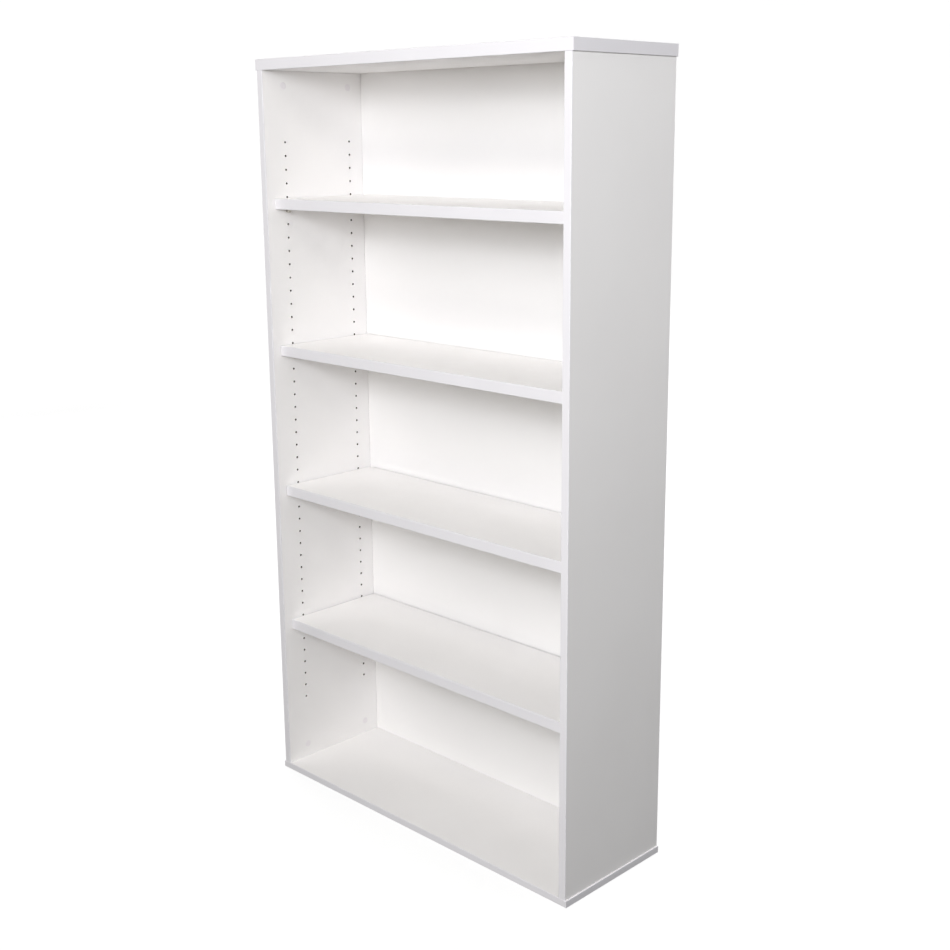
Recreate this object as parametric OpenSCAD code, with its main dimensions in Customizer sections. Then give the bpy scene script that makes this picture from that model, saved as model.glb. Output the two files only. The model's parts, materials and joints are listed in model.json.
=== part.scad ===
// Open bookcase: a five-board case, and four shelves that rest on pins in rows of holes.
// The origin is on the floor at the centre of the footprint: +X right, -Y front, +Z up.

/* [Case] */
// Overall width, across the top and bottom panels
case_w = 970; // [600:10:1200]
// Overall depth, from front edge to rear edge
case_d = 322; // [310:1:420]
// Overall height
case_h = 1780; // [1730:10:2000]
// How far the top and bottom panels reach past the outside of each side panel
side_lip = 3.5; // [1:0.5:8]
// How far they reach past the front and rear edges of the side panels
end_lip = 0.5; // [0.5:0.5:3]

/* [Boards] */
// Thickness of the top panel
top_t = 25; // [22:1:30]
// Thickness of the bottom panel
bottom_t = 16; // [16:1:25]
// Thickness of each side panel
side_t = 19; // [18:1:25]
// Thickness of each shelf
shelf_t = 25; // [18:1:28]
// Thickness of the back panel
back_t = 8; // [5:0.5:10]

/* [Edging] */
// Thickness of the plastic strips glued to the edges of the boards
edging_t = 2; // [2:0.5:3]
// Radius of a strip's two outer corners
edging_r = 1.2; // [0.5:0.1:1.8]

/* [Back groove] */
// Distance from the rear edge of the case to the back panel
back_inset = 13; // [8:1:30]
// Depth of the groove that holds the back panel
groove_depth = 7; // [5:0.5:9]
// Slack on each side of the back panel in its groove
groove_slack = 0.2; // [0.1:0.1:0.5]

/* [Shelf holes] */
// Diameter of a shelf hole
hole_dia = 5; // [4:0.5:6]
// Depth of a shelf hole
hole_depth = 11.5; // [11:0.5:13]
// Distance between holes in a row
hole_pitch = 32; // [30:1:36]
// Least distance from the first and last hole to the top and bottom panels
hole_margin = 163; // [100:1:163]
// Distance from the front edge of the case to the front row
front_row_inset = 61; // [50:1:80]
// Distance between the front and rear rows
row_spacing = 198; // [160:1:200]

/* [Shelves] */
// Hole that carries the top shelf, counted from the top
first_shelf_hole = 6; // [3:1:6]
// Number of holes from one shelf to the next
shelf_step = 11; // [8:1:11]
// How far a shelf's front edge lies behind the front of the case
shelf_setback = 24; // [10:1:40]
// Gap at each end of a shelf
shelf_end_gap = 1; // [1:0.5:3]
// Gap between a shelf and the back panel
shelf_rear_gap = 2; // [1:0.5:5]

/* [Shelf pins] */
// Diameter of a pin's head
pin_head_dia = 10; // [8:0.5:12]
// Length of a pin's head
pin_head_len = 8; // [6:0.5:12]
// Length of a pin's stem in its hole
pin_stem_len = 10; // [8:0.5:10.5]
// Thickness removed from the top of the head to make the flat that the shelf rests on
pin_flat_cut = 0.3; // [0.2:0.1:0.6]

/* [Corner fittings] */
// Diameter of a cam housing's bore
cam_dia = 15; // [12:1:15]
// Distance from the end of a side panel to a cam
cam_drop = 34; // [30:1:40]
// Diameter of a cover cap
cap_dia = 17; // [16:0.5:18]
// Thickness of a cover cap's rim
cap_t = 0.6; // [0.4:0.1:0.8]
// Length of a dowel
dowel_len = 30; // [25:1:30]
// Distance from a cam to its dowel, towards the middle of the side panel
dowel_offset = 32; // [24:1:48]

/* [Hidden] */
$fn = 48;
SHELVES = [1 : 4];
SIDES = ["left", "right"];
LEVELS = ["top", "bottom"];
ROWS = ["front", "rear"];

// Case planes
front_y = -case_d / 2;
rear_y = case_d / 2;
top_z = case_h - top_t;
side_h = top_z - bottom_t;
side_outer_x = case_w / 2 - side_lip;
inner_x = side_outer_x - side_t;
side_d = case_d - 2 * end_lip;
joint_x = inner_x + side_t / 2;

// Back panel: its front face, and how far it enters its grooves
back_front_y = rear_y - back_inset - back_t;
back_end_gap = 0.5;
back_entry = groove_depth - back_end_gap;

// Shelf holes, numbered from the top
row_y = [front_y + front_row_inset, front_y + front_row_inset + row_spacing];
hole_count = floor((side_h - 2 * hole_margin) / hole_pitch) + 1;
first_hole_z = top_z - hole_margin;
function hole_z(k) = first_hole_z - (k - 1) * hole_pitch;

// Pins: a plain stem in the hole, and a head whose flat carries the shelf
pin_stem_clearance = 0.05;
pin_chamfer = 0.6;
pin_rest_h = pin_head_dia / 2 - pin_flat_cut;

// Shelves, numbered from the top
shelf_l = 2 * (inner_x - shelf_end_gap);
shelf_front_y = front_y + shelf_setback;
shelf_rear_y = back_front_y - shelf_rear_gap;
function shelf_hole_z(s) = hole_z(first_shelf_hole + (s - 1) * shelf_step);
function shelf_z(s) = shelf_hole_z(s) + pin_rest_h;

// Corner fittings
cam_depth = 14;
cam_clearance = 0.05;
cam_end_gap = 0.3;
cam_recess_dia = 4.4;
cam_recess_depth = 2.8;
cam_slot_w = 1.4;
cam_slot_l = 9;
bolt_bore_dia = 8;
bolt_thread_dia = 5;
bolt_thread_len = 10;
bolt_head_h = 6;
dowel_dia = 8;
dowel_bore_gap = 1;
dowel_in_panel = 11;
dowel_chamfer = 1;
cut = 1; // how far a cutting shape runs past the face that it enters

board_white = [0.94, 0.94, 0.93];
edging_white = [0.92, 0.92, 0.95];
nickel = [0.62, 0.61, 0.58];
zinc = [0.72, 0.73, 0.75];
cap_white = [0.88, 0.88, 0.9];
beech = [0.83, 0.68, 0.47];

// ---- Placing ----

// Children drawn for the right-hand side, mirrored for the left
module on_side(side) {
    if (side == "left") mirror([1, 0, 0]) children();
    else children();
}

// Children drawn at a joint between a side panel and the panel above it, with z = 0 at
// the joint face and +Z into that panel, and mirrored for the bottom panel
module at_joint(level) {
    if (level == "top") translate([0, 0, top_z]) children();
    else translate([0, 0, bottom_t]) mirror([0, 0, 1]) children();
}

// Children repeated at the front and rear cams of a right-hand joint
module at_cams() {
    for (y = row_y) translate([joint_x, y, 0]) children();
}

// Children repeated at the front and rear dowels of a right-hand joint
module at_dowels() {
    for (y = [row_y[0] + dowel_offset, row_y[1] - dowel_offset])
        translate([joint_x, y, 0]) children();
}

// Children repeated on both sides of the case
module both_sides() {
    for (side = SIDES) on_side(side) children();
}

// ---- Edging ----

// A strip's section: thickness along X with the outer face at 0, width along Y
module strip_section(width) {
    intersection() {
        square([edging_t, width]);
        union() {
            translate([edging_r, 0]) square([edging_t, width]);
            translate([0, edging_r]) square([edging_t, width - 2 * edging_r]);
            for (y = [edging_r, width - edging_r]) translate([edging_r, y]) circle(edging_r);
        }
    }
}

// A strip along X, centred, standing on z = 0, with its outer face at y = 0 facing the front
module strip(length, width) {
    color(edging_white) rotate([90, 0, 90])
        linear_extrude(length, center = true) strip_section(width);
}

// The strip on one edge of the top or bottom panel
module panel_edging(level, edge) {
    width = level == "top" ? top_t : bottom_t;
    z = level == "top" ? top_z : 0;
    if (edge == "front") translate([0, front_y, z]) strip(case_w, width);
    if (edge == "rear") translate([0, rear_y, z]) rotate([0, 0, 180]) strip(case_w, width);
    if (edge == "left" || edge == "right") on_side(edge)
        translate([case_w / 2, 0, z]) rotate([0, 0, 90]) strip(case_d - 2 * edging_t, width);
}

// The upright strip on the front or rear edge of a side panel
module side_edging(side, row) {
    turn = row == "front" ? 0 : 1;
    on_side(side) mirror([0, turn, 0])
        translate([side_outer_x, -side_d / 2, bottom_t + side_h / 2])
            rotate([0, -90, 0]) strip(side_h, side_t);
}

// ---- Case boards ----

// The groove for the back panel, cut into the panel above a joint
module level_groove() {
    length = 2 * (inner_x + groove_depth);
    translate([-length / 2, back_front_y - groove_slack, -cut])
        cube([length, back_t + 2 * groove_slack, groove_depth + cut]);
}

// The top or bottom panel, with its bolt holes, dowel holes and groove
module level_panel(level) {
    thickness = level == "top" ? top_t : bottom_t;
    board = [case_w - 2 * edging_t, case_d - 2 * edging_t, thickness];
    color(board_white) at_joint(level) difference() {
        translate([-board[0] / 2, -board[1] / 2, 0]) cube(board);
        both_sides() {
            at_cams() translate([0, 0, -cut])
                cylinder(d = bolt_thread_dia, h = bolt_thread_len + dowel_bore_gap + cut);
            at_dowels() translate([0, 0, -cut])
                cylinder(d = dowel_dia, h = dowel_in_panel + dowel_bore_gap + cut);
        }
        level_groove();
    }
}

module top_panel() { level_panel("top"); }

module bottom_panel() { level_panel("bottom"); }

// Two rows of blind holes in the inner face of a right-hand side panel
module shelf_holes() {
    for (y = row_y, k = [1 : hole_count])
        translate([inner_x - cut, y, hole_z(k)]) rotate([0, 90, 0])
            cylinder(d = hole_dia, h = hole_depth + cut);
}

// Cam, bolt and dowel bores in one end of a right-hand side panel, seen from its joint face
module end_bores() {
    at_cams() {
        translate([inner_x - joint_x - cut, 0, -cam_drop]) rotate([0, 90, 0])
            cylinder(d = cam_dia, h = cam_depth + cut);
        translate([0, 0, -cam_drop]) cylinder(d = bolt_bore_dia, h = cam_drop + cut);
    }
    dowel_bore = dowel_len - dowel_in_panel + dowel_bore_gap;
    at_dowels() translate([0, 0, -dowel_bore])
        cylinder(d = dowel_dia, h = dowel_bore + cut);
}

module side_panel(side) {
    color(board_white) on_side(side) difference() {
        translate([inner_x, edging_t - side_d / 2, bottom_t])
            cube([side_t, side_d - 2 * edging_t, side_h]);
        shelf_holes();
        for (level = LEVELS) at_joint(level) end_bores();
        translate([inner_x - cut, back_front_y - groove_slack, bottom_t - cut])
            cube([groove_depth + cut, back_t + 2 * groove_slack, side_h + 2 * cut]);
    }
}

module left_side_panel() { side_panel("left"); }

module right_side_panel() { side_panel("right"); }

module back_panel() {
    half_w = inner_x + back_entry;
    color(board_white) translate([-half_w, back_front_y, bottom_t - back_entry])
        cube([2 * half_w, back_t, side_h + 2 * back_entry]);
}

// ---- Shelves ----

module shelf_board(s) {
    length = shelf_l - 2 * edging_t;
    front = shelf_front_y + edging_t;
    color(board_white) translate([-length / 2, front, shelf_z(s)])
        cube([length, shelf_rear_y - front, shelf_t]);
}

module shelf_front_edging(s) {
    translate([0, shelf_front_y, shelf_z(s)]) strip(shelf_l, shelf_t);
}

// The strips on both ends of a shelf, behind its front strip
module shelf_end_edgings(s) {
    front = shelf_front_y + edging_t;
    both_sides() translate([shelf_l / 2, (front + shelf_rear_y) / 2, shelf_z(s)])
        rotate([0, 0, 90]) strip(shelf_rear_y - front, shelf_t);
}

// A pin along X: the stem runs to +X from the panel's face at x = 0, the head to -X
module pin_body() {
    r = pin_head_dia / 2;
    stem_r = hole_dia / 2 - pin_stem_clearance;
    difference() {
        rotate([0, 90, 0]) rotate_extrude() polygon([
            [0, -pin_head_len], [r - pin_chamfer, -pin_head_len],
            [r, pin_chamfer - pin_head_len], [r, 0],
            [stem_r, 0], [stem_r, pin_stem_len - pin_chamfer],
            [stem_r - pin_chamfer, pin_stem_len], [0, pin_stem_len]
        ]);
        translate([-pin_head_len - cut, -r, pin_rest_h])
            cube([pin_head_len + cut, 2 * r, pin_flat_cut + cut]);
    }
}

module shelf_pin(s, row, side) {
    y = row == "front" ? row_y[0] : row_y[1];
    color(nickel) on_side(side) translate([inner_x, y, shelf_hole_z(s)]) pin_body();
}

// ---- Corner fittings ----

// A cam housing along X, with its face at x = 0, its driver recess in that face, and the
// passage for the bolt's head, which comes in from +Z
module cam_body() {
    passage_d = bolt_bore_dia - 0.4;
    difference() {
        rotate([0, 90, 0])
            cylinder(d = cam_dia - 2 * cam_clearance, h = cam_depth - cam_end_gap);
        translate([-cut, 0, 0]) rotate([0, 90, 0])
            cylinder(d = cam_recess_dia, h = cam_recess_depth + cut);
        for (turn = [0, 90]) rotate([turn, 0, 0])
            translate([-cut, -cam_slot_w / 2, -cam_slot_l / 2])
                cube([cam_recess_depth + cut, cam_slot_w, cam_slot_l]);
        translate([side_t / 2, 0, -bolt_head_h / 2 - cut])
            cylinder(d = passage_d, h = cam_dia);
    }
}

module cam_housings(side) {
    color(zinc) on_side(side) for (level = LEVELS) at_joint(level)
        at_cams() translate([inner_x - joint_x, 0, -cam_drop]) cam_body();
}

// A cover cap: a thin rim on the panel's face, and a spigot in the cam's recess
module cap_body() {
    spigot_d = cam_recess_dia - 0.2;
    spigot_len = cam_recess_depth - 0.5;
    rotate([0, 90, 0]) rotate_extrude() polygon([
        [0, -cap_t], [cap_dia / 2 - cap_t / 2, -cap_t], [cap_dia / 2, -cap_t / 2],
        [cap_dia / 2, 0], [spigot_d / 2, 0], [spigot_d / 2, spigot_len], [0, spigot_len]
    ]);
}

module cover_caps(side) {
    color(cap_white) on_side(side) for (level = LEVELS) at_joint(level)
        at_cams() translate([inner_x - joint_x, 0, -cam_drop]) cap_body();
}

// A bolt along Z: threaded into the panel above the joint, its head in the cam below
module bolt_body() {
    thread_r = bolt_thread_dia / 2 - 0.05;
    collar_r = bolt_bore_dia / 2 - 0.3;
    collar_h = 1.5;
    shank_r = 3;
    neck_r = 2;
    head_r = 3.4;
    head_chamfer = 1;
    head_top = bolt_head_h / 2 - cam_drop;
    head_bottom = head_top - bolt_head_h;
    neck_top = head_top + 5;
    rotate_extrude() polygon([
        [0, bolt_thread_len], [thread_r - 0.8, bolt_thread_len],
        [thread_r, bolt_thread_len - 0.8], [thread_r, 0],
        [collar_r, 0], [collar_r, -collar_h], [shank_r, -collar_h],
        [shank_r, neck_top], [neck_r, neck_top], [neck_r, head_top],
        [head_r - head_chamfer, head_top], [head_r, head_top - head_chamfer],
        [head_r, head_bottom + head_chamfer], [head_r - head_chamfer, head_bottom],
        [0, head_bottom]
    ]);
}

module connecting_bolts(level) {
    color(zinc) at_joint(level) both_sides() at_cams() bolt_body();
}

module dowel_body() {
    r = dowel_dia / 2 - 0.05;
    low = dowel_in_panel - dowel_len;
    rotate_extrude() polygon([
        [0, low], [r - dowel_chamfer, low], [r, low + dowel_chamfer],
        [r, dowel_in_panel - dowel_chamfer], [r - dowel_chamfer, dowel_in_panel],
        [0, dowel_in_panel]
    ]);
}

module dowels(level) {
    color(beech) at_joint(level) both_sides() at_dowels() dowel_body();
}

// ---- Nodes ----

top_panel();
bottom_panel();
left_side_panel();
right_side_panel();
back_panel();

for (level = LEVELS) {
    for (edge = concat(ROWS, SIDES))
        panel_edging(level, edge);
    connecting_bolts(level);
    dowels(level);
}

for (side = SIDES) {
    for (row = ROWS)
        side_edging(side, row);
    cam_housings(side);
    cover_caps(side);
}

for (s = SHELVES) {
    shelf_board(s);
    shelf_front_edging(s);
    shelf_end_edgings(s);
    for (row = ROWS, side = SIDES)
        shelf_pin(s, row, side);
}
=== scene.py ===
"""Looks of an open white bookcase: boards, edging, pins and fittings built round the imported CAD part."""

import json
import math

import bmesh
import bpy
from mathutils import Matrix, Vector

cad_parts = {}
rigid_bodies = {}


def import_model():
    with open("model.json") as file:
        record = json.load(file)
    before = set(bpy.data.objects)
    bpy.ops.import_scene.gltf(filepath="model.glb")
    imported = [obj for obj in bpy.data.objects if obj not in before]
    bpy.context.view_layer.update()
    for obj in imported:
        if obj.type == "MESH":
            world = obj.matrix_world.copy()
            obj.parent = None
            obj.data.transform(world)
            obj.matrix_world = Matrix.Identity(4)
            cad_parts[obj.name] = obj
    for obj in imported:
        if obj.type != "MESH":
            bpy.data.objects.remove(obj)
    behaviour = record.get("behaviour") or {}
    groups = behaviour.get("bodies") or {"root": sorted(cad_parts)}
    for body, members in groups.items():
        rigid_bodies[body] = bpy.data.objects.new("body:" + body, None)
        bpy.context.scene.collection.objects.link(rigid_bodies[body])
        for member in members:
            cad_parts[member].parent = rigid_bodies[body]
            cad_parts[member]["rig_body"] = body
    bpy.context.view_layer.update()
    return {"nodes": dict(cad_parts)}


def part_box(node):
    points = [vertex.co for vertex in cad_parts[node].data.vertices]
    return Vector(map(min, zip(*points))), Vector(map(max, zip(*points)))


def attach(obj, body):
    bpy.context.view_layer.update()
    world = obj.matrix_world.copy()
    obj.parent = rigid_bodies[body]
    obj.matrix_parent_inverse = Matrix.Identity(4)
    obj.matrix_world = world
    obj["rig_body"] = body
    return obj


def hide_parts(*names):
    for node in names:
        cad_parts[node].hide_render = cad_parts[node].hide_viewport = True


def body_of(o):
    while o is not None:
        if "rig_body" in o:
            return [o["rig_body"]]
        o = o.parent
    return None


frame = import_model()

MM = 0.001
ALONG_X, ALONG_Y, ALONG_Z = range(3)
LEVELS = ("top", "bottom")
SIDES = ("left", "right")
ROWS = ("front", "rear")
SHELVES = (1, 2, 3, 4)

# ---- Node trees ----


def add(tree, kind, inputs=None, **settings):
    """A shader node with its settings, and its inputs set to values or linked to sockets."""
    made = tree.nodes.new(kind)
    for key, value in settings.items():
        setattr(made, key, value)
    for key, value in (inputs or {}).items():
        if isinstance(value, bpy.types.NodeSocket):
            tree.links.new(value, made.inputs[key])
        else:
            made.inputs[key].default_value = value
    return made


def new_material(name, roughness, metallic=0.0, **sockets):
    """A material with one Principled shader, whose even values are set on its own sockets."""
    material = bpy.data.materials.new(name)
    material.use_nodes = True
    shader = material.node_tree.nodes["Principled BSDF"]
    shader.inputs["Roughness"].default_value = roughness
    shader.inputs["Metallic"].default_value = metallic
    for key, value in sockets.items():
        shader.inputs[key.replace("_", " ")].default_value = value
    return material, material.node_tree, shader


def place(tree, scale=(1, 1, 1)):
    """Coordinates in metres in the part's own frame, stretched by scale."""
    where = add(tree, "ShaderNodeTexCoord")
    return add(
        tree, "ShaderNodeMapping", {"Vector": where.outputs["Object"], "Scale": scale}
    ).outputs["Vector"]


def noise(tree, vector, scale, detail=2.0, roughness=0.5, distortion=0.0):
    """Noise from 0 to 1 with features about 1 / scale metres across."""
    return add(
        tree,
        "ShaderNodeTexNoise",
        {
            "Vector": vector,
            "Scale": scale,
            "Detail": detail,
            "Roughness": roughness,
            "Distortion": distortion,
        },
    ).outputs["Fac"]


# nearly all of a noise's values lie between these two
NOISE_LOW, NOISE_HIGH = 0.3, 0.7


def ramp(tree, factor, *stops):
    """A colour ramp through (position, (r, g, b)) stops."""
    made = add(tree, "ShaderNodeValToRGB", {"Fac": factor})
    elements = made.color_ramp.elements
    while len(elements) < len(stops):
        elements.new(0.5)
    for element, (position, colour) in zip(elements, stops):
        element.position = position
        element.color = (*colour, 1.0)
    return made.outputs["Color"]


def two_tone(tree, factor, tones):
    """A colour that goes with a noise from the first tone to the second."""
    first, second = tones
    return ramp(tree, factor, (NOISE_LOW, first), (NOISE_HIGH, second))


def spread(tree, factor, low, high, start=NOISE_LOW, end=NOISE_HIGH):
    """A factor between start and end, spread over low to high."""
    return add(
        tree,
        "ShaderNodeMapRange",
        {
            "Value": factor,
            "From Min": start,
            "From Max": end,
            "To Min": low,
            "To Max": high,
        },
    ).outputs["Result"]


def bump(tree, height, distance, normal=None):
    """A bump of that height in metres, on top of another where normal is given."""
    inputs = {"Height": height, "Distance": distance, "Strength": 1.0}
    if normal is not None:
        inputs["Normal"] = normal
    return add(tree, "ShaderNodeBump", inputs).outputs["Normal"]


def finish_material(tree, shader, colour, roughness, normal):
    """Links a material's colour, roughness and normal to its shader."""
    tree.links.new(colour, shader.inputs["Base Color"])
    tree.links.new(roughness, shader.inputs["Roughness"])
    tree.links.new(normal, shader.inputs["Normal"])


# ---- Materials ----

# Tones are linear (red, green, blue). A noise's number is about how many features it has per
# metre, `spread` gives the least and the greatest roughness, and `bump` the texture's height.
MELAMINE_TONES = ((0.873, 0.857, 0.852), (0.897, 0.882, 0.877))
LACQUER_TONES = ((0.876, 0.862, 0.857), (0.894, 0.880, 0.875))
EDGING_TONES = ((0.762, 0.746, 0.776), (0.780, 0.765, 0.795))
CAP_TONES = ((0.812, 0.782, 0.800), (0.832, 0.802, 0.820))
BEECH_TONES = ((0.50, 0.31, 0.16), (0.66, 0.45, 0.26))
BEECH_RAY = (0.30, 0.17, 0.08, 1.0)
PAPER_TONES = ((0.19, 0.19, 0.19), (0.21, 0.21, 0.21))
# painted shade: the core is darkened to how dark the drilled holes look in a white board, so darker than
# raw chipboard in the open, on bare edges too
HOLE_SHADE_CHIP_TONES = (
    (0.0, (0.040, 0.032, 0.026)),
    (0.35, (0.075, 0.061, 0.049)),
    (0.75, (0.11, 0.092, 0.074)),
    (1.0, (0.15, 0.13, 0.108)),
)


def melamine():
    """Satin white melamine: a fine pearl texture and a hardly visible cloudiness."""
    material, tree, shader = new_material("satin_melamine", 0.42)
    at = place(tree)
    cloud = noise(tree, at, 4.0, detail=3.0)
    colour = two_tone(tree, cloud, MELAMINE_TONES)
    pearl = noise(tree, at, 950.0, detail=2.0, roughness=0.6)
    waves = noise(tree, at, 130.0, detail=1.0)
    roughness = spread(tree, noise(tree, at, 26.0, detail=4.0), 0.34, 0.50)
    normal = bump(tree, waves, 0.05 * MM)
    normal = bump(tree, pearl, 0.05 * MM, normal)
    finish_material(tree, shader, colour, roughness, normal)
    return material


def lacquered_board():
    """The back panel's white lacquer: smoother than melamine, with a faint fibre under it."""
    material, tree, shader = new_material("lacquered_back", 0.5)
    at = place(tree)
    fibre = noise(tree, place(tree, (1, 1, 0.2)), 420.0, detail=4.0, roughness=0.65)
    cloud = noise(tree, at, 3.0, detail=2.0)
    colour = two_tone(tree, cloud, LACQUER_TONES)
    roughness = spread(tree, noise(tree, at, 40.0, detail=3.0), 0.44, 0.56)
    normal = bump(tree, fibre, 0.03 * MM)
    finish_material(tree, shader, colour, roughness, normal)
    return material


def chipboard():
    """Chipboard core, as it shows in drilled holes and on edges without a strip, darkened with painted
    shade to how dark the inside of a drilled hole looks.
    """
    material, tree, shader = new_material("chipboard_core_hole_shade", 0.85, Specular_IOR_Level=0.1)
    at = place(tree)
    warp = noise(tree, at, 300.0)
    push = add(tree, "ShaderNodeVectorMath", {0: warp, "Scale": 2 * MM}, operation="SCALE")
    shifted = add(tree, "ShaderNodeVectorMath", {0: at, 1: push.outputs[0]}, operation="ADD")
    cells = {"Vector": shifted.outputs[0], "Scale": 620.0}
    chips = add(tree, "ShaderNodeTexVoronoi", cells)
    parted = add(tree, "ShaderNodeSeparateColor", {"Color": chips.outputs["Color"]})
    tone = parted.outputs["Red"]
    colour = ramp(tree, tone, *HOLE_SHADE_CHIP_TONES)
    roughness = spread(tree, tone, 0.75, 0.95, start=0.0, end=1.0)
    normal = bump(tree, chips.outputs["Distance"], 0.25 * MM)
    finish_material(tree, shader, colour, roughness, normal)
    return material


def edging(name, along):
    """Glued plastic edging: a little cooler and glossier than the boards, with faint draw
    lines along its length, which runs along axis number `along`."""
    material, tree, shader = new_material(name, 0.34)
    stretch = [1.0, 1.0, 1.0]
    stretch[along] = 0.02
    at = place(tree)
    lines = noise(tree, place(tree, stretch), 1500.0, detail=3.0, roughness=0.6)
    cloud = noise(tree, at, 7.0, detail=2.0)
    colour = two_tone(tree, cloud, EDGING_TONES)
    roughness = spread(tree, noise(tree, at, 60.0, detail=3.0), 0.28, 0.40)
    normal = bump(tree, noise(tree, at, 260.0, detail=2.0), 0.02 * MM)
    normal = bump(tree, lines, 0.012 * MM, normal)
    finish_material(tree, shader, colour, roughness, normal)
    return material


def metal(name, tones, smooth, rough, grain, depth):
    """Plated or cast metal: its least and greatest roughness, and its texture's size and height."""
    material, tree, shader = new_material(name, rough, metallic=1.0)
    at = place(tree)
    patch = noise(tree, at, 500.0, detail=3.0)
    texture = noise(tree, at, 1.0 / grain, detail=3.0, roughness=0.6)
    colour = two_tone(tree, patch, tones)
    roughness = spread(tree, texture, smooth, rough)
    normal = bump(tree, texture, depth)
    finish_material(tree, shader, colour, roughness, normal)
    return material


def cap_plastic():
    """Moulded cover caps: cool white, slightly matt, with a fine eroded mould texture."""
    material, tree, shader = new_material("cap_plastic", 0.4)
    at = place(tree)
    colour = two_tone(tree, noise(tree, at, 220.0, detail=2.0), CAP_TONES)
    roughness = spread(tree, noise(tree, at, 900.0), 0.38, 0.52)
    normal = bump(tree, noise(tree, at, 2600.0, detail=2.0), 0.012 * MM)
    finish_material(tree, shader, colour, roughness, normal)
    return material


def beech():
    """Beech dowel: grain along Z, with short dark rays."""
    material, tree, shader = new_material("beech", 0.6)
    stretched = place(tree, (1, 1, 0.06))
    grain = noise(tree, stretched, 900.0, detail=4.0, roughness=0.6, distortion=0.4)
    rays = noise(tree, place(tree, (1, 1, 0.25)), 1900.0, detail=1.0)
    base = two_tone(tree, grain, BEECH_TONES)
    dark = spread(tree, rays, 0.0, 0.45, start=0.62, end=0.72)
    mixed = {"Factor": dark, "A": base, "B": BEECH_RAY}
    colour = add(tree, "ShaderNodeMix", mixed, data_type="RGBA").outputs["Result"]
    roughness = spread(tree, grain, 0.52, 0.7)
    finish_material(tree, shader, colour, roughness, bump(tree, grain, 0.05 * MM))
    return material


# ---- Pieces ----


# points nearer to each other than this are one, and points nearer to a face than the next lie on it
WELD = 0.001 * MM
ON_FACE = 0.01 * MM
# triangles of one flat face meet at less than FLAT_BELOW, and edges to ease at over SHARP_ABOVE
FLAT_BELOW = math.radians(0.3)
SHARP_ABOVE = math.radians(40)
# how far edges are eased: a board's or a strip's, a cast fitting's, and a strip's trimmed arris
HAIRLINE = 0.12 * MM
CAST_EASE = 0.15 * MM
TRIM = 0.6 * MM
EASE_STEPS = 2
TRIM_STEPS = 3
# a little more than a hairline, to find the eased faces beside a board's surface
EASED_REACH = 1.05 * HAIRLINE
# a face whose normal has at least this share along an axis looks straight along it
STRAIGHT = 0.999
# an edge with over this share of its length along an axis runs lengthwise
LENGTHWISE = 0.9
# how deep a loosened end reaches, with its eased edges
END_DEPTH = 1 * MM
# edges over this many degrees stay sharp in the shading
BOARD_SHARP, TURNED_SHARP, BOLT_SHARP = 50, 35, 40
# the weight by which a broad face's normal wins over those of the eased edges beside it
BROAD_WEIGHT = 100


def add_object(name, data):
    """A new object in the scene."""
    made = bpy.data.objects.new(name, data)
    bpy.context.scene.collection.objects.link(made)
    return made


def finished_mesh(name, shape):
    """A mesh made of a bmesh, which is freed."""
    mesh = bpy.data.meshes.new(name)
    shape.to_mesh(mesh)
    shape.free()
    return mesh


def turned(degrees, axis):
    """A rotation by some degrees about one axis."""
    return Matrix.Rotation(math.radians(degrees), 4, axis)


def piece(name, mesh, node, materials):
    """A new visible piece that stands for a CAD node and rides on its body."""
    made = add_object(name, mesh)
    for material in materials:
        mesh.materials.append(material)
    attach(made, body_of(frame["nodes"][node])[0])
    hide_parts(node)
    return made


def flatten_broad_faces(made):
    """Weights a piece's normals by face area, so that broad faces stay flat beside eased edges."""
    made.data.shade_smooth()
    weighted = made.modifiers.new("broad_faces_flat", "WEIGHTED_NORMAL")
    weighted.mode = "FACE_AREA"
    weighted.weight = BROAD_WEIGHT
    weighted.keep_sharp = True


def shade(made, smooth_below):
    """Smooth shading, with edges over smooth_below degrees sharp."""
    flatten_broad_faces(made)
    made.data.set_sharp_from_angle(angle=math.radians(smooth_below))


def welded(node):
    """A CAD node's mesh as one closed surface without the triangles' edges, for editing."""
    shape = bmesh.new()
    shape.from_mesh(frame["nodes"][node].data)
    bmesh.ops.remove_doubles(shape, verts=shape.verts, dist=WELD)
    bmesh.ops.dissolve_limit(shape, angle_limit=FLAT_BELOW, verts=shape.verts, edges=shape.edges)
    return shape


def eased_copy(node, ease, outside_only=False):
    """A CAD node's mesh as one welded surface, with every sharp edge eased by a small round, or
    only those of its outside faces, which leaves out the edges inside its holes."""
    shape = welded(node)
    low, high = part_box(node)

    def is_outside(face):
        points = [v.co for v in face.verts]
        return any(
            all(abs(p[k] - plane[k]) < ON_FACE for p in points)
            for k in range(3)
            for plane in (low, high)
        )

    sharp = [
        e
        for e in shape.edges
        if len(e.link_faces) == 2
        and e.calc_face_angle() > SHARP_ABOVE
        and (not outside_only or any(is_outside(face) for face in e.link_faces))
    ]
    bmesh.ops.bevel(
        shape,
        geom=sharp,
        offset=ease,
        offset_type="OFFSET",
        segments=EASE_STEPS,
        profile=0.5,
        affect="EDGES",
        clamp_overlap=False,
    )
    return finished_mesh(node + "_eased", shape)


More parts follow.
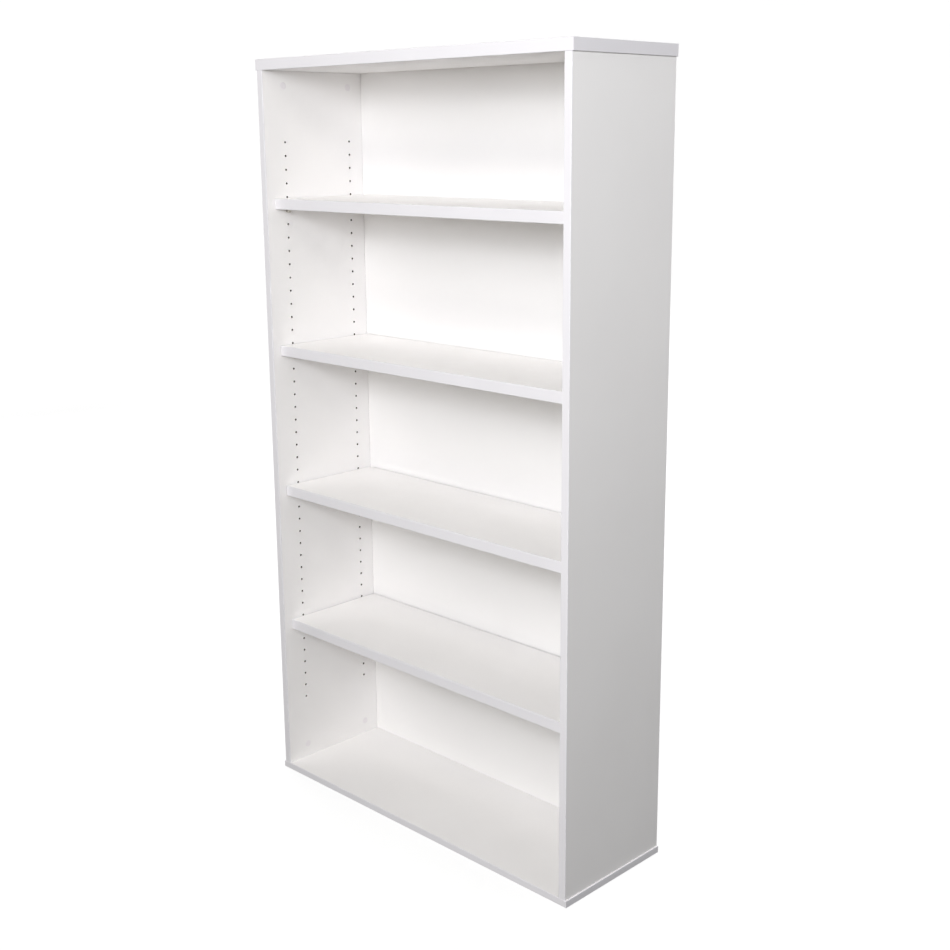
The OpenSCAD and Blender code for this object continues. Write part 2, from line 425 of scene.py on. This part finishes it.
def board(node, skin, core, bare=()):
    """A laminated board: its two broad faces carry the skin, and all that is cut shows the core, whose
    colour is darkened with painted shade.
    So do the eased rims of its holes and grooves, and its arrises across the bare axes, whose
    ends have no edging."""
    mesh = eased_copy(node, HAIRLINE, outside_only=True)
    low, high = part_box(node)
    size = high - low
    thin, *broad = sorted(range(3), key=lambda axis: size[axis])
    edged = [axis for axis in broad if axis not in bare]

    def is_skin(face):
        at = face.center
        near_face = min(at[thin] - low[thin], high[thin] - at[thin]) < EASED_REACH
        flat = abs(face.normal[thin]) > STRAIGHT
        by_edging = any(min(at[k] - low[k], high[k] - at[k]) < EASED_REACH for k in edged)
        return near_face and (flat or by_edging)

    for face in mesh.polygons:
        face.material_index = 0 if is_skin(face) else 1
    made = piece(node + "_board", mesh, node, [skin, core])
    shade(made, BOARD_SHARP)
    return made


def loosen(made, node, axis, end, slack):
    """Moves a board's lower (-1) or upper (1) end on an axis in by some slack, with its eased
    edges, so that a thin dark line shows at its joint."""
    low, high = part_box(node)
    plane = high[axis] if end > 0 else low[axis]
    for vertex in made.data.vertices:
        if abs(vertex.co[axis] - plane) < END_DEPTH:
            vertex.co[axis] -= end * slack


def strip(node, along, across):
    """A glued edging strip that runs along one axis and faces out across another. Its two long
    outer arrises are trimmed round, and its other edges eased so that a hairline shows."""
    mesh = finished_mesh(node + "_strip", welded(node))
    reach = max(abs(v.co[across]) for v in mesh.vertices)
    weights = mesh.attributes.new("bevel_weight_edge", "FLOAT", "EDGE")
    for edge, weight in zip(mesh.edges, weights.data):
        a, b = (mesh.vertices[k].co for k in edge.vertices)
        outer = min(abs(a[across]), abs(b[across])) > reach - ON_FACE
        lengthwise = abs(a[along] - b[along]) > LENGTHWISE * (a - b).length
        weight.value = 1.0 if outer and lengthwise else HAIRLINE / TRIM
    made = piece(node + "_strip", mesh, node, [edging_along[along]])
    rounds = made.modifiers.new("trimmed_arrises", "BEVEL")
    rounds.width = TRIM
    rounds.segments = TRIM_STEPS
    rounds.limit_method = "WEIGHT"
    flatten_broad_faces(made)


def corners(node, half, axes):
    """The centres of four like solids in a node, which stand at the corners of its box. Each is
    `half` from its centre to its side along the two axes, and centred on the third."""
    low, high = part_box(node)
    a, b = axes
    centre = (low + high) / 2
    found = []
    for at_a in (low[a] + half, high[a] - half):
        for at_b in (low[b] + half, high[b] - half):
            spot = centre.copy()
            spot[a], spot[b] = at_a, at_b
            found.append(spot)
    return found


def ring_point(x, radius, turn):
    """The point at x on the axis, at that radius and that share of a turn round +X."""
    angle = math.tau * turn
    return Vector((x, radius * math.cos(angle), radius * math.sin(angle)))


def lathe(shape, profile, turns, placing):
    """A surface turned round +X from (x, radius) points, added to a bmesh and then placed. A
    radius of 0 is one point on the axis."""
    rings = []
    for x, radius in profile:
        count = turns if radius > 0 else 1
        points = [ring_point(x, radius, k / turns) for k in range(count)]
        rings.append([shape.verts.new(placing @ point) for point in points])
    for a, b in zip(rings, rings[1:]):
        for k in range(turns):
            corner = [a[k % len(a)], a[(k + 1) % len(a)], b[(k + 1) % len(b)], b[k % len(b)]]
            shape.faces.new(list(dict.fromkeys(corner)))


def join_rings(shape, rings):
    """A closed surface over a row of rings with the same number of points."""
    for a, b in zip(rings, rings[1:]):
        for k in range(len(a)):
            after = (k + 1) % len(a)
            shape.faces.new((a[k], a[after], b[after], b[k]))
    shape.faces.new(rings[-1])
    shape.faces.new(reversed(rings[0]))


FITTING_TURNS = 64


def lathed(profile, placings):
    """One mesh of turned solids: a profile of (distance along the axis, radius) points in
    millimetres, turned round +X, and drawn at each placing."""
    shape = bmesh.new()
    for placing in placings:
        lathe(shape, [(x * MM, r * MM) for x, r in profile], FITTING_TURNS, placing)
    bmesh.ops.recalc_face_normals(shape, faces=shape.faces)
    return finished_mesh("turned", shape)


def panel_face(side):
    """X of the side panel's inner face."""
    low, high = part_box(side + "_side_panel")
    return high.x if side == "left" else low.x


def facing_in(side, spot):
    """A placing whose +X runs into the side panel, at a spot."""
    return Matrix.Translation(spot) @ turned(180 if side == "left" else 0, "Z")


def away_from_side(level, spot):
    """A placing whose +X runs from a joint's face into the top or bottom panel."""
    return Matrix.Translation(spot) @ turned(-90 if level == "top" else 90, "Y")


def joint_z(level):
    """Z of the face where the sides meet the top or bottom panel."""
    low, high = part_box(level + "_panel")
    return low.z if level == "top" else high.z


# the head's dimple, end, barrel and rear face, then the ribbed stem to its tip
PIN_PROFILE = (
    (-7.6, 0.0), (-7.6, 1.5), (-8.0, 1.9), (-8.0, 4.4), (-7.85, 4.7), (-7.4, 5.0),
    (-0.4, 5.0), (-0.1, 4.9), (0.0, 4.6), (0.0, 2.45), (0.9, 2.45), (1.2, 2.3),
    (2.8, 2.3), (3.1, 2.45), (4.3, 2.45), (4.6, 2.3), (6.2, 2.3), (6.5, 2.45),
    (9.4, 2.45), (9.8, 2.2), (10.0, 1.85), (10.0, 0.0),
)


def shelf_pin(number, row, side):
    """A plated pin: a barrel head with a dimple and a flat under the shelf, and a ribbed stem."""
    node = f"shelf_{number}_pin_{row}_{side}"
    low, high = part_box(node)
    # the flat is on top, so the axis lies a radius above the lowest point
    radius = (high.y - low.y) / 2
    spot = Vector((panel_face(side), low.y + radius, low.z + radius))
    shape = bmesh.new()
    shape.from_mesh(lathed(PIN_PROFILE, [facing_in(side, spot)]))
    flat = bmesh.ops.bisect_plane(
        shape,
        geom=list(shape.verts) + list(shape.edges) + list(shape.faces),
        plane_co=(0, 0, high.z),
        plane_no=(0, 0, 1),
        clear_outer=True,
    )
    rim = [e for e in flat["geom_cut"] if isinstance(e, bmesh.types.BMEdge)]
    bmesh.ops.edgeloop_fill(shape, edges=rim)
    bmesh.ops.recalc_face_normals(shape, faces=shape.faces)
    name = node + "_turned"
    shade(piece(name, finished_mesh(name, shape), node, [nickel]), TURNED_SHARP)


# the gate mark, the domed rim and the spigot behind it
CAP_PROFILE = (
    (-0.52, 0.0), (-0.52, 0.7), (-0.6, 0.9), (-0.6, 4.0), (-0.57, 6.0), (-0.5, 7.4),
    (-0.4, 8.0), (-0.24, 8.35), (-0.05, 8.5), (0.0, 8.45), (0.0, 2.1), (2.0, 2.1),
    (2.2, 2.0), (2.3, 1.8), (2.3, 0.0),
)
CAP_RADIUS = 8.5 * MM


def cover_caps(side):
    """Four moulded caps: a domed rim with a gate mark in its middle, and a spigot."""
    node = side + "_cover_caps"
    spots = corners(node, CAP_RADIUS, (ALONG_Y, ALONG_Z))
    for spot in spots:
        spot.x = panel_face(side)
    mesh = lathed(CAP_PROFILE, [facing_in(side, spot) for spot in spots])
    shade(piece(node + "_moulded", mesh, node, [cap_plastic()]), TURNED_SHARP)


def cam_housings(side):
    """Four cast cams, with their edges eased."""
    node = side + "_cam_housings"
    mesh = eased_copy(node, CAST_EASE)
    shade(piece(node + "_cast", mesh, node, [zinc]), TURNED_SHARP)


BOLT_COLLAR = 3.7 * MM
# the thread, in millimetres: it narrows over its last part, down to a share of its radius
THREAD_LENGTH, THREAD_PITCH = 10.0, 2.0
THREAD_ROOT, THREAD_CREST = 1.75, 2.45
THREAD_TIP, TIP_SHARE = 1.5, 0.75
# over 1, this leaves the crests narrower than the roots
CREST_SHARPNESS = 2.2
THREAD_STEPS, BOLT_TURNS = 60, 32
# collar, shank, neck and head
BOLT_PROFILE = (
    (0.0, 0.0), (0.0, 3.5), (-0.2, 3.7), (-1.3, 3.7), (-1.5, 3.5), (-1.5, 3.0),
    (-25.8, 3.0), (-26.0, 2.8), (-26.0, 2.0), (-31.0, 2.0), (-31.0, 2.4), (-32.0, 3.4),
    (-36.0, 3.4), (-37.0, 2.4), (-37.0, 1.1), (-36.2, 0.0),
)


def thread(shape, placing):
    """A coarse screw thread round +X, from the joint's face to a blunt tip."""
    rings = []
    for k in range(THREAD_STEPS + 1):
        x = THREAD_LENGTH * k / THREAD_STEPS
        near_tip = min(1.0, (THREAD_LENGTH - x) / THREAD_TIP)
        ring = []
        for j in range(BOLT_TURNS):
            turn = j / BOLT_TURNS
            ridge = abs(2 * ((x / THREAD_PITCH - turn) % 1.0) - 1) ** CREST_SHARPNESS
            radius = THREAD_ROOT + (THREAD_CREST - THREAD_ROOT) * ridge * near_tip
            radius *= TIP_SHARE + (1 - TIP_SHARE) * near_tip
            ring.append(shape.verts.new(placing @ ring_point(x * MM, radius * MM, turn)))
        rings.append(ring)
    join_rings(shape, rings)


def connecting_bolts(level):
    """Four plated bolts: thread, collar, shank, neck and a dimpled head."""
    node = level + "_connecting_bolts"
    shape = bmesh.new()
    for spot in corners(node, BOLT_COLLAR, (ALONG_X, ALONG_Y)):
        spot.z = joint_z(level)
        placing = away_from_side(level, spot)
        lathe(shape, [(x * MM, r * MM) for x, r in BOLT_PROFILE], BOLT_TURNS, placing)
        thread(shape, placing)
    bmesh.ops.recalc_face_normals(shape, faces=shape.faces)
    name = node + "_threaded"
    shade(piece(name, finished_mesh(name, shape), node, [plating]), BOLT_SHARP)


# a dowel and its pressed flutes, in millimetres
DOWEL_RADIUS, DOWEL_LENGTH = 3.95, 30.0
DOWEL_FLUTES, FLUTE_DEPTH = 24, 0.22
POINTS_PER_FLUTE = 4
# the chamfered end: (distance from it, how much slimmer, share of the flutes' depth)
DOWEL_END = ((0.0, 1.0, 0.0), (0.4, 0.6, 0.2))
DOWEL_CHAMFER, DOWEL_STEPS = 1.0, 4


def dowel_ring(shape, centre, radius, dip):
    """A ring round +Z at a centre, whose radius dips by `dip` in every flute."""
    around = DOWEL_FLUTES * POINTS_PER_FLUTE
    ring = []
    for k in range(around):
        angle = math.tau * k / around
        r = (radius - dip * (0.5 - 0.5 * math.cos(DOWEL_FLUTES * angle))) * MM
        ring.append(shape.verts.new(centre + Vector((r * math.cos(angle), r * math.sin(angle), 0))))
    return ring


def dowel_outline():
    """(height, radius, depth of the flutes) of a dowel's rings, from its lower end up."""
    straight = DOWEL_LENGTH - 2 * DOWEL_CHAMFER
    lower = [(at, DOWEL_RADIUS - slimmer, FLUTE_DEPTH * share) for at, slimmer, share in DOWEL_END]
    middle = [
        (DOWEL_CHAMFER + straight * k / DOWEL_STEPS, DOWEL_RADIUS, FLUTE_DEPTH)
        for k in range(DOWEL_STEPS + 1)
    ]
    upper = [(DOWEL_LENGTH - at, radius, depth) for at, radius, depth in reversed(lower)]
    return lower + middle + upper


def dowels(level):
    """Four beech dowels with pressed flutes and chamfered ends."""
    node = level + "_dowels"
    low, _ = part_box(node)
    shape = bmesh.new()
    for spot in corners(node, DOWEL_RADIUS * MM, (ALONG_X, ALONG_Y)):
        rings = []
        for height, radius, depth in dowel_outline():
            centre = Vector((spot.x, spot.y, low.z + height * MM))
            rings.append(dowel_ring(shape, centre, radius, depth))
        join_rings(shape, rings)
    bmesh.ops.recalc_face_normals(shape, faces=shape.faces)
    name = node + "_fluted"
    shade(piece(name, finished_mesh(name, shape), node, [beech()]), BOARD_SHARP)


# ---- Build ----

skin = melamine()
# the core carries painted shade: it is as dark as the shaded inside of a drilled hole
core = chipboard()
back_skin = lacquered_board()
edging_along = [edging("edging_along_" + axis, k) for k, axis in enumerate("xyz")]

JOINT_SLACK = 0.2 * MM

for level in LEVELS:
    board(level + "_panel", skin, core)
    for row in ROWS:
        strip(f"{level}_{row}_edging", ALONG_X, ALONG_Y)
    for side in SIDES:
        strip(f"{level}_{side}_edging", ALONG_Y, ALONG_X)
for side in SIDES:
    panel = side + "_side_panel"
    loosen(board(panel, skin, core, bare=(ALONG_Z,)), panel, ALONG_Z, 1, JOINT_SLACK)
    for row in ROWS:
        strip(f"{side}_side_{row}_edging", ALONG_Z, ALONG_Y)
loosen(board("back_panel", back_skin, core), "back_panel", ALONG_Y, -1, JOINT_SLACK)
for number in SHELVES:
    board(f"shelf_{number}", skin, core)
    strip(f"shelf_{number}_front_edging", ALONG_X, ALONG_Y)
    strip(f"shelf_{number}_end_edgings", ALONG_Y, ALONG_X)

NICKEL_TONES = ((0.46, 0.44, 0.40), (0.58, 0.56, 0.52))
CAST_TONES = ((0.42, 0.43, 0.45), (0.54, 0.55, 0.57))
PLATING_TONES = ((0.52, 0.53, 0.53), (0.66, 0.66, 0.63))
nickel = metal("nickel_plating", NICKEL_TONES, 0.24, 0.38, 0.4 * MM, 0.004 * MM)
zinc = metal("cast_zinc", CAST_TONES, 0.42, 0.62, 0.5 * MM, 0.03 * MM)
plating = metal("zinc_plating", PLATING_TONES, 0.26, 0.42, 0.3 * MM, 0.006 * MM)

for number in SHELVES:
    for row in ROWS:
        for side in SIDES:
            shelf_pin(number, row, side)
for side in SIDES:
    cam_housings(side)
    cover_caps(side)
for level in LEVELS:
    connecting_bolts(level)
    dowels(level)

# ---- Stage ----

STAGE_RADIUS = 6.0
STAGE_CURVE = 2.5
STAGE_TOP = 7.0
CURVE_STEPS, STAGE_TURNS = 24, 96
# the radius of a ring in the floor, between its middle and its curve
FLOOR_RING = 1.0
# the paper's own light on the floor and on the backdrop, which the lamps reach less
PAPER_GLOW = (0.80, 0.95)
GLOW_RISE = 0.35


def studio_paper():
    """Matt paper with a faint mottle, that glows more with height."""
    material, tree, shader = new_material(
        "studio_paper", 0.9, Emission_Color=(1.0, 1.0, 1.0, 1.0)
    )
    at = place(tree)
    mottle = noise(tree, at, 1.5)
    colour = two_tone(tree, mottle, PAPER_TONES)
    height = add(tree, "ShaderNodeSeparateXYZ", {"Vector": at}).outputs["Z"]
    glow = spread(tree, height, *PAPER_GLOW, start=0.0, end=GLOW_RISE)
    tree.links.new(colour, shader.inputs["Base Color"])
    tree.links.new(glow, shader.inputs["Emission Strength"])
    material.cycles.emission_sampling = "NONE"
    return material


def bowl():
    """A pale floor that curves up into a backdrop all round."""
    flat = STAGE_RADIUS - STAGE_CURVE
    profile = [(0.0, 0.0), (0.0, FLOOR_RING), (0.0, flat)]
    for k in range(1, CURVE_STEPS + 1):
        turn = math.radians(90) * k / CURVE_STEPS
        height = STAGE_CURVE * (1 - math.cos(turn))
        profile.append((height, flat + STAGE_CURVE * math.sin(turn)))
    profile.append((STAGE_TOP, STAGE_RADIUS))
    shape = bmesh.new()
    lathe(shape, profile, STAGE_TURNS, turned(-90, "Y"))
    mesh = finished_mesh("studio_floor", shape)
    mesh.shade_smooth()
    mesh.materials.append(studio_paper())
    floor = add_object("studio_floor", mesh)
    floor.visible_diffuse = False
    floor.visible_shadow = False


bowl()

MIDDLE = (0.0, 0.0, 1.0)
RIGHT_FACE = (0.4, 0.0, 0.9)
UPPER_RIGHT = (0.4, 0.0, 1.4)
WHITE = (1.0, 1.0, 1.0)
COOL = (0.985, 1.0, 1.03)
CREAM = (1.0, 0.98, 0.92)
# light that has bounced off a wooden floor in front
WARM = (1.0, 0.965, 0.86)
# name: (where it stands, what it points at, its width and height, watts, colour)
LIGHTS = {
    "front_key": ((1.6, -3.2, 2.2), MIDDLE, (0.9, 0.9), 67.0, COOL),
    "front_right": ((2.2, -3.0, 2.6), MIDDLE, (0.9, 0.9), 32.0, COOL),
    "front_left": ((-1.2, -3.2, 3.2), MIDDLE, (1.0, 1.0), 12.0, WHITE),
    "front_high": ((0.6, -2.6, 4.0), MIDDLE, (1.0, 1.0), 49.0, CREAM),
    "front_low": ((0.6, -2.4, 0.3), MIDDLE, (2.4, 0.5), 9.5, WARM),
    "right_high": ((2.4, -0.3, 2.8), UPPER_RIGHT, (1.4, 1.4), 13.5, WHITE),
    "right_rear": ((3.0, 0.8, 1.8), RIGHT_FACE, (1.4, 1.8), 15.5, WHITE),
    "rear_fill": ((-0.6, 4.2, 2.4), MIDDLE, (3.0, 2.0), 150.0, WHITE),
    "left_rear_fill": ((-4.0, 1.2, 1.8), MIDDLE, (2.4, 2.0), 85.0, WHITE),
}


def softbox(name, at, target, size, watts, colour):
    """A rectangular lamp that the camera doesn't see."""
    lamp = bpy.data.lights.new(name, "AREA")
    lamp.shape = "RECTANGLE"
    lamp.size, lamp.size_y = size
    lamp.energy = watts
    lamp.color = colour
    made = add_object(name, lamp)
    made.location = at
    made.rotation_euler = (Vector(target) - Vector(at)).to_track_quat("-Z", "Y").to_euler()
    made.visible_camera = False


for light_name, values in LIGHTS.items():
    softbox(light_name, *values)

WORLD_COLOUR = (1.0, 0.96, 0.88, 1.0)
WORLD_STRENGTH = 0.03


def surroundings():
    """A dim, warm light from all round."""
    world = bpy.data.worlds.new("studio")
    world.use_nodes = True
    background = world.node_tree.nodes["Background"]
    background.inputs["Color"].default_value = WORLD_COLOUR
    background.inputs["Strength"].default_value = WORLD_STRENGTH
    bpy.context.scene.world = world


surroundings()

bpy.context.scene.view_settings.view_transform = "Standard"

# ---- Camera ----

CAMERA_AT = Vector((2.1675, -2.1294, 1.6048))
# degrees: turned left, tilted down, and rolled
CAMERA_YAW, CAMERA_PITCH, CAMERA_ROLL = 44.65, 13.15, -0.44
LENS_MM, SENSOR_MM = 51.26, 36.0
SHIFT_UP = -0.025


def camera():
    """The camera, with a slightly shifted lens, as the scene's own."""
    lens = bpy.data.cameras.new("camera")
    lens.sensor_width = SENSOR_MM
    lens.lens = LENS_MM
    lens.shift_y = SHIFT_UP
    made = add_object("camera", lens)
    heading = turned(CAMERA_YAW, "Z") @ turned(90 - CAMERA_PITCH, "X") @ turned(CAMERA_ROLL, "Z")
    made.matrix_world = Matrix.Translation(CAMERA_AT) @ heading
    bpy.context.scene.camera = made


camera()
